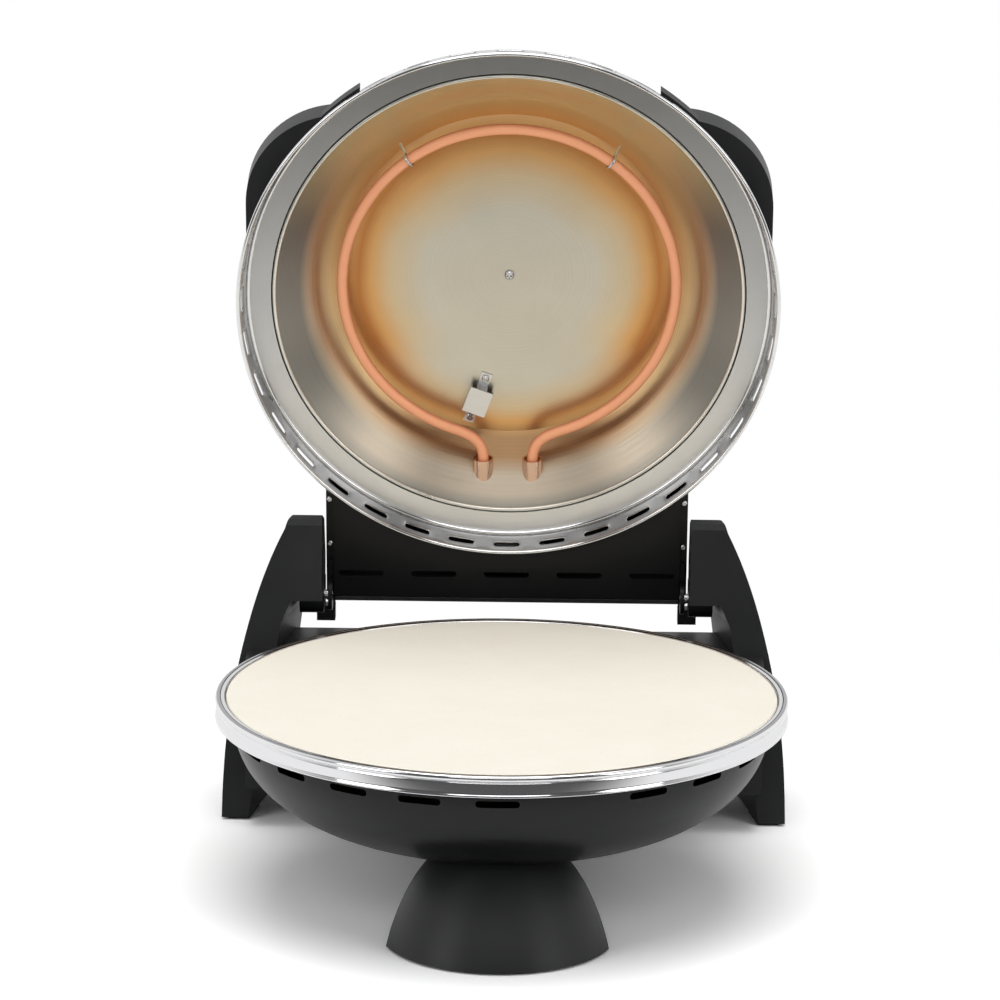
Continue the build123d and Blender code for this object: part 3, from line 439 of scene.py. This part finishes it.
def gridFaces(rows, columns, closeRows=False, closeColumns=False):
    # quads of a grid of points: (i, j), (i, j + 1), (i + 1, j + 1), (i + 1, j)
    lastRow, lastColumn = rows - (not closeRows), columns - (not closeColumns)
    i, j = np.meshgrid(np.arange(lastRow), np.arange(lastColumn), indexing="ij")
    i, j = i.ravel(), j.ravel()
    up, along = (i + 1) % rows, (j + 1) % columns
    return np.stack([i * columns + j, i * columns + along, up * columns + along, up * columns + j], axis=1)


def softened(corners, reach, steps=4, most=0.45):
    # a closed outline whose every corner b is the curve (1-t)^2 p + 2t(1-t) b + t^2 q,
    # with p and q on its two sides, reach away or most of the side's length
    b = np.array(corners, float)
    before, after = np.roll(b, 1, axis=0) - b, np.roll(b, -1, axis=0) - b
    lengthBefore, lengthAfter = (np.linalg.norm(v, axis=1, keepdims=True) for v in (before, after))
    p = b + before / lengthBefore * np.minimum(reach, most * lengthBefore)
    q = b + after / lengthAfter * np.minimum(reach, most * lengthAfter)
    t = np.linspace(0, 1, steps)[None, :, None]
    curve = (1 - t) ** 2 * p[:, None] + 2 * t * (1 - t) * b[:, None] + t ** 2 * q[:, None]
    return curve.reshape(-1, 2)


def turnedOutline(outline, places, steps):
    # the outline (r, z) carried round the axis: x = r cos a, y = r sin a, z = z
    a = np.linspace(0, 2 * math.pi, steps, endpoint=False)[:, None]
    r, z = outline[None, :, 0], outline[None, :, 1]
    return places(r * np.cos(a), r * np.sin(a), z + 0 * a)


# ring round the bowl, radius and height in mm: band with a flared foot, a groove and a rolled top
ringLook = {"steps": 480, "soft": 0.7, "sideTone": (0.80, 0.80, 0.81), "topTone": (0.30, 0.30, 0.31),
            "low": 0.1178, "high": 0.1183, "smear": 45.0, "stray": 0.12, "rough": (0.09, 0.20),
            "section": [(161.3, 106.4), (161.3, 107.3), (160.75, 108.3), (160.75, 114.2), (160.1, 114.9),
                        (161.1, 115.7), (161.1, 117.4), (160.0, 118.4), (158.4, 118.4), (157.9, 118.0),
                        (155.4, 118.0), (155.4, 105.7), (146.4, 105.7), (146.4, 104.7), (156.4, 104.7),
                        (156.4, 117.0), (158.6, 117.3), (159.9, 117.3), (160.1, 116.1), (159.1, 115.1),
                        (159.1, 114.4), (159.75, 113.8), (159.75, 108.0), (160.3, 106.4)]}


def makeRingBand(name, look):
    # polished on its side, and darker and rougher above the height low, on the flat on top
    mat, tree, shader, place = startMaterial(name)
    shader.inputs["Metallic"].default_value = 1.0
    split = tree.nodes.new("ShaderNodeSeparateXYZ")
    tree.links.new(place, split.inputs[0])
    height = addRange(tree, split.outputs["Z"], 0.0, 1.0, look["low"], look["high"])
    both = addSway(tree, addNoise(tree, place, look["smear"]), look["stray"], height)
    setColour(tree, shader, both, look["sideTone"], look["topTone"], 0.1, 0.9)
    setRough(tree, shader, both, *look["rough"], 0.0, 1.0)
    return mat


def makeRing(look):
    outline = softened(look["section"], look["soft"])
    points = turnedOutline(outline, basePoints, look["steps"])
    addPiece("rimRing", points, gridFaces(look["steps"], len(outline), True, True), "base", "chrome",
             ["rim_ring"], own=makeRingBand("ringBand", look))


makeRing(ringLook)

# skirt of the lid, mm: a cone with punched slots, drawn in at the flange
skirtLook = {"slots": 36, "slotHalf": 8.0, "slotRound": 2.1, "slotUp": 9.6, "low": (157.8, 1.2),
             "high": (153.6, 19.3), "drawFrom": 16.4, "drawIn": 1.3, "lipOut": 0.45, "lipPower": 8,
             "sheet": 0.9, "blend": (0, 0.05, 0.12, 0.3, 0.62, 1), "footSteps": 12, "cornerSteps": 3,
             "endSteps": 8, "weld": 0.00002, "tone": (0.43, 0.43, 0.435), "rough": (0.12, 0.20)}
rollLook = {"steps": 256, "sides": 16}
beadLook = {"radius": 157.0, "height": 1.2, "roll": 1.2}
cornerLook = {"radius": 152.2, "height": 17.9, "roll": 1.5}
lipLook = {"radius": 137.0, "height": 18.8, "roll": 1.1, "steps": 384, "tone": (0.90, 0.87, 0.79),
           "rough": (0.26, 0.36)}


def slotOutline(look):
    # round a slot from its lower left: footSteps along the foot with the eighths of circle at its
    # two ends, endSteps round the end, and the same back
    a, r = look["slotHalf"] - look["slotRound"], look["slotRound"]
    eighth = np.linspace(0, math.pi / 4, look["cornerSteps"] + 1)[:-1]
    start = np.stack([-a - r * np.cos(math.pi / 4 + eighth), -r * np.sin(math.pi / 4 + eighth)], axis=1)
    flatCount = look["footSteps"] - 2 * look["cornerSteps"] + 1
    flat = np.stack([np.linspace(-a, a, flatCount), np.full(flatCount, -r)], axis=1)
    turn = -math.pi / 2 + eighth[1:]
    foot = np.concatenate([start, flat, np.stack([a + r * np.cos(turn), r * np.sin(turn)], axis=1)])
    end = np.linspace(-math.pi / 4, math.pi / 4, look["endSteps"] + 1)[:-1]
    side = np.stack([a + r * np.cos(end), r * np.sin(end)], axis=1)
    half = np.concatenate([foot, side])
    return np.concatenate([half, -half])


def cellOutline(look, halfWide, low, high):
    # the same walk round the slot's cell: along the foot, up the side, and the same back
    footCount, sideCount = look["footSteps"], look["endSteps"]
    foot = np.stack([np.linspace(-halfWide, halfWide, footCount + 1)[:-1], np.full(footCount, low)], axis=1)
    side = np.stack([np.full(sideCount, halfWide), np.linspace(low, high, sideCount + 1)[:-1]], axis=1)
    top = np.stack([-foot[:, 0], np.full(footCount, high)], axis=1)
    back = np.stack([-side[:, 0], low + high - side[:, 1]], axis=1)
    return np.concatenate([foot, side, top, back])


def makeSkirt(look):
    # a point is slot + (cell - slot) w; its radius is that of the cone at its height, drawn in by
    # the square of the way above drawFrom and out by lipOut (1 - w)^lipPower beside a slot
    (lowR, lowH), (highR, highH) = look["low"], look["high"]
    slot = slotOutline(look)
    cell = cellOutline(look, math.pi / look["slots"] * lowR, lowH - look["slotUp"], highH - look["slotUp"])
    w = np.array(look["blend"])[:, None, None]
    spot = slot[None] + (cell - slot)[None] * w
    h = spot[..., 1] + look["slotUp"]
    radius = lowR + (highR - lowR) * (h - lowH) / (highH - lowH)
    radius -= look["drawIn"] * (np.clip(h - look["drawFrom"], 0, None) / (highH - look["drawFrom"])) ** 2
    radius += look["lipOut"] * (1 - w[..., 0]) ** look["lipPower"]
    turn = 2 * math.pi / look["slots"] * np.arange(look["slots"])[:, None, None] + math.pi / 2
    angle = turn + spot[None, ..., 0] / lowR
    points = lidPoints(radius * np.cos(angle), radius * np.sin(angle), h[None] + 0 * angle)
    faces = gridFaces(len(look["blend"]), len(slot), False, True)
    count = len(look["blend"]) * len(slot)
    everyFace = (faces[None] + count * np.arange(look["slots"])[:, None, None]).reshape(-1, 4)
    piece = addPiece("lidSkirt", points, everyFace, "lid", "chrome", ["lid_skirt"],
                     own=makeBrightMetal("skirtBand", look["tone"], look["rough"]))
    weldOutwards(piece, look["weld"])
    wall = piece.modifiers.new("wall", "SOLIDIFY")
    wall.thickness = look["sheet"] * mm
    wall.offset = -1.0


def weldOutwards(piece, reach):
    # joins the cells where they meet, and turns every face away from the lid's axis
    shell = bmesh.new()
    shell.from_mesh(piece.data)
    bmesh.ops.remove_doubles(shell, verts=shell.verts, dist=reach)
    bmesh.ops.recalc_face_normals(shell, faces=shell.faces)
    middle = Vector(lidCentre)
    outward = sum((f.calc_center_median() - middle).dot(f.normal) for f in shell.faces)
    if outward < 0:
        bmesh.ops.reverse_faces(shell, faces=shell.faces)
    shell.to_mesh(piece.data)
    shell.free()


def makeRoll(name, look, finish, steps=rollLook["steps"], own=None):
    # a round bead: r = radius + roll cos b, h = height + roll sin b, carried round the lid's axis
    b = np.linspace(0, 2 * math.pi, rollLook["sides"], endpoint=False)
    outline = np.stack([look["radius"] + look["roll"] * np.cos(b), look["height"] + look["roll"] * np.sin(b)],
                       axis=1)
    addPiece(name, turnedOutline(outline, lidPoints, steps), gridFaces(steps, rollLook["sides"], True, True),
             "lid", finish, own=own)


makeSkirt(skirtLook)
makeRoll("lidBead", beadLook, "chrome")
makeRoll("lidCorner", cornerLook, "chrome")
makeRoll("panLip", lipLook, "pan_steel", lipLook["steps"],
         makeBrightMetal("panLipSteel", lipLook["tone"], lipLook["rough"]))
print("ring, skirt, beads and lip turned")

# dials: marks on the sloping face round each knob, and the white line in each knob
dialLook = {
    "thermostat": {"x": -42.0, "turn": 270.0, "marks": 11, "numbers": ("0", "1", "2", "3", "4", "5")},
    "timer": {"x": 42.0, "turn": 300.0, "marks": 16, "numbers": ("0", "3", "6", "9", "12", "15")},
}
dialSizes = {"near": 19.2, "far": 21.4, "half": 0.35, "thick": 0.12, "number": 25.6, "tall": 4.6,
             "lineHalf": 0.6, "lineNear": 5.6, "lineFar": 16.4, "lineTop": 15.2, "lineDeep": 0.6}
knobSpot = (0.175506, 0.399505)
knobAxis = Vector((0.0, 0.861304, 0.508089))
across, away = Vector((1.0, 0.0, 0.0)), Vector((0.0, 0.508089, -0.861304))   # the dial's right and top
printed = makeDull("whitePrint", (0.62, 0.62, 0.60), (0.74, 0.74, 0.72), (0.5, 0.65), 900.0)


def dialPoints(x, u, v, w):
    # dial measures in mm (right, top, out of the face) to metres
    spot = np.array([x * mm, *knobSpot])
    return (spot + u[..., None] * mm * np.array(across) + v[..., None] * mm * np.array(away)
            + w[..., None] * mm * np.array(knobAxis))


boxFaces = np.array([(0, 3, 2, 1), (4, 5, 6, 7), (0, 1, 5, 4), (1, 2, 6, 5), (2, 3, 7, 6), (3, 0, 4, 7)])


def makeBars(name, x, angles, near, far, half, low, high, body):
    # one bar for each angle a: u = r sin a + s cos a, v = r cos a - s sin a, r from near to far, s = +-half
    r = np.array([near, near, far, far] * 2)
    s = np.array([-half, half, half, -half] * 2)
    w = np.repeat([low, high], 4)
    a = np.radians(angles)[:, None]
    points = dialPoints(x, r * np.sin(a) + s * np.cos(a), r * np.cos(a) - s * np.sin(a), w + 0 * a)
    faces = (boxFaces[None] + 8 * np.arange(len(angles))[:, None, None]).reshape(-1, 4)
    addPiece(name, points, faces, body, "knob_plastic", smooth=False, own=printed)


def makeNumber(name, text, x, angle):
    curve = bpy.data.curves.new(name, "FONT")
    curve.body = text
    curve.size = dialSizes["tall"] * mm
    curve.extrude = dialSizes["thick"] * mm
    curve.align_x, curve.align_y = "CENTER", "CENTER"
    holder = bpy.data.objects.new(name + "Text", curve)
    bpy.context.scene.collection.objects.link(holder)
    bpy.context.view_layer.update()
    mesh = bpy.data.meshes.new_from_object(holder)
    bpy.data.objects.remove(holder)
    a = math.radians(angle)
    spot = Vector((x * mm, *knobSpot)) + across * (dialSizes["number"] * mm * math.sin(a))
    spot += away * (dialSizes["number"] * mm * math.cos(a))
    mesh.transform(Matrix.Translation(spot) @ Matrix((across, away, knobAxis)).transposed().to_4x4())
    mesh.materials.clear()
    mesh.materials.append(printed)
    piece = bpy.data.objects.new(name, mesh)
    bpy.context.scene.collection.objects.link(piece)
    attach(piece, "lid")


def makeDials(look, sizes):
    for body, dial in look.items():
        angles = np.linspace(0, dial["turn"], dial["marks"])
        makeBars(body + "Marks", dial["x"], angles, sizes["near"], sizes["far"], sizes["half"],
                 -sizes["thick"], sizes["thick"], "lid")
        makeBars(body + "Line", dial["x"], np.zeros(1), sizes["lineNear"], sizes["lineFar"],
                 sizes["lineHalf"], sizes["lineTop"] - sizes["lineDeep"], sizes["lineTop"], body)
        for number, angle in zip(dial["numbers"], np.linspace(0, dial["turn"], len(dial["numbers"]))):
            makeNumber(body + "Number" + number, number, dial["x"], float(angle))


makeDials(dialLook, dialSizes)
print("dials marked")

# floor: white for the camera away from the object, and lit near it, where the shadow falls
floorLook = {"half": 9.0, "colour": (0.92, 0.92, 0.92), "seen": (1.30, 1.30, 1.30), "keep": 0.36,
             "fade": 0.60, "centre": (0.0, 0.0, 0.0), "mirrored": (0.05, 0.05, 0.05), "frontTone": 0.10,
             "frontFrom": -0.62, "frontTo": -0.36}


def makeFloor(look):
    # one flat square: x and y run over (-half, half), z is 0
    h = look["half"]
    mesh = bpy.data.meshes.new("floor")
    mesh.from_pydata([(-h, -h, 0), (h, -h, 0), (h, h, 0), (-h, h, 0)], [], [(0, 1, 2, 3)])
    floor = bpy.data.objects.new("floor", mesh)
    bpy.context.scene.collection.objects.link(floor)
    mat, tree, shader, place = startMaterial("paleFloor")
    rays = tree.nodes.new("ShaderNodeLightPath").outputs
    seen = addMath(tree, "MAXIMUM", rays["Is Camera Ray"], rays["Is Transmission Ray"])
    shader.inputs["Roughness"].default_value = 1.0
    shader.inputs["Specular IOR Level"].default_value = 0.0
    white = tree.nodes.new("ShaderNodeEmission")
    join = tree.nodes.new("ShaderNodeMixShader")
    distance = axisRadius(tree, place, look["centre"], upright)
    far = addRange(tree, distance, 0.0, 1.0, look["keep"], look["fade"], True)
    both = addMath(tree, "MAXIMUM", seen, rays["Is Glossy Ray"])
    tree.links.new(addMath(tree, "MULTIPLY", far, both), join.inputs[0])
    # in a mirror the floor ends in front of the object, where a studio's white sweep ends
    split = tree.nodes.new("ShaderNodeSeparateXYZ")
    tree.links.new(place, split.inputs[0])
    sweep = addRange(tree, split.outputs["Y"], look["frontTone"], 1.0, look["frontFrom"], look["frontTo"],
                     True)
    tone = addMath(tree, "MULTIPLY_ADD", addMath(tree, "SUBTRACT", sweep, 1.0), rays["Is Glossy Ray"], 1.0)
    tree.links.new(tone, white.inputs["Strength"])
    mirrorFloor = addMix(tree, tone, look["mirrored"], look["colour"])
    tree.links.new(addMix(tree, seen, mirrorFloor, look["seen"]), shader.inputs["Base Color"])
    tree.links.new(shader.outputs[0], join.inputs[1])
    tree.links.new(white.outputs[0], join.inputs[2])
    tree.links.new(join.outputs[0], tree.nodes["Material Output"].inputs["Surface"])
    floor.data.materials.append(mat)


makeFloor(floorLook)
lampPlan = {
    "topBox": {"at": (0.0, -0.15, 1.9), "size": (1.5, 1.5), "power": 24.0},
    "leftBox": {"at": (-1.7, -1.3, 0.9), "size": (0.9, 1.6), "power": 11.0},
    "rightBox": {"at": (1.7, -1.3, 0.9), "size": (0.9, 1.6), "power": 11.0},
    "frontBox": {"at": (0.0, -2.9, 2.1), "size": (2.2, 0.7), "power": 14.0},
}
lampAim = Vector((0, 0, 0.15))


def makeLamps(plan):
    for name, lamp in plan.items():
        light = bpy.data.lights.new(name, "AREA")
        light.shape = "RECTANGLE"
        light.size, light.size_y = lamp["size"]
        light.energy = lamp["power"]
        holder = bpy.data.objects.new(name, light)
        holder.location = lamp["at"]
        holder.rotation_euler = (lampAim - Vector(lamp["at"])).to_track_quat("-Z", "Y").to_euler()
        bpy.context.scene.collection.objects.link(holder)


makeLamps(lampPlan)
# the room: white to the camera and behind the object, darker in front of it, and a plain fill
roomLook = {"fill": 0.36, "front": 0.10, "back": 1.0, "from": -0.75, "to": 0.35}


def makeRoom(look):
    world = bpy.data.worlds.new("studio")
    world.use_nodes = True
    tree = world.node_tree
    rays = tree.nodes.new("ShaderNodeLightPath").outputs
    way = tree.nodes.new("ShaderNodeSeparateXYZ")
    tree.links.new(tree.nodes.new("ShaderNodeTexCoord").outputs["Generated"], way.inputs[0])
    mirrored = addRange(tree, way.outputs["Y"], look["front"], look["back"], look["from"], look["to"], True)
    seen = addMath(tree, "MAXIMUM", rays["Is Camera Ray"], rays["Is Transmission Ray"])
    fill = addMath(tree, "MULTIPLY_ADD", addMath(tree, "SUBTRACT", mirrored, look["fill"]),
                   rays["Is Glossy Ray"], look["fill"])
    strength = addMath(tree, "MAXIMUM", seen, fill)
    tree.nodes["Background"].inputs[0].default_value = (1.0, 1.0, 1.0, 1.0)
    tree.links.new(strength, tree.nodes["Background"].inputs[1])
    bpy.context.scene.world = world


makeRoom(roomLook)
# angles in degrees, lens and sensor in mm, the rest in metres
cameraPlan = {"lift": 14.043, "side": 0.676, "roll": 0.527, "away": 3.0, "lens": 193.76, "sensor": 36.0,
              "clip": 60.0, "target": (-0.002014, -0.035421, 0.23043)}


def makeCamera(plan):
    e, a, roll = (math.radians(plan[k]) for k in ("lift", "side", "roll"))
    back = Vector((math.sin(a) * math.cos(e), -math.cos(a) * math.cos(e), math.sin(e)))
    right = Vector((math.cos(a), math.sin(a), 0.0))
    up = back.cross(right)
    rolledRight = right * math.cos(roll) + up * math.sin(roll)
    rolledUp = up * math.cos(roll) - right * math.sin(roll)
    data = bpy.data.cameras.new("camera")
    data.lens = plan["lens"]
    data.sensor_width = plan["sensor"]
    data.clip_end = plan["clip"]
    camera = bpy.data.objects.new("camera", data)
    turn = Matrix((rolledRight, rolledUp, back)).transposed().to_4x4()
    camera.matrix_world = Matrix.Translation(Vector(plan["target"]) + back * plan["away"]) @ turn
    bpy.context.scene.collection.objects.link(camera)
    bpy.context.scene.camera = camera


makeCamera(cameraPlan)
bpy.context.scene.view_settings.view_transform = "Standard"
print("floor, lamps, room and camera placed")
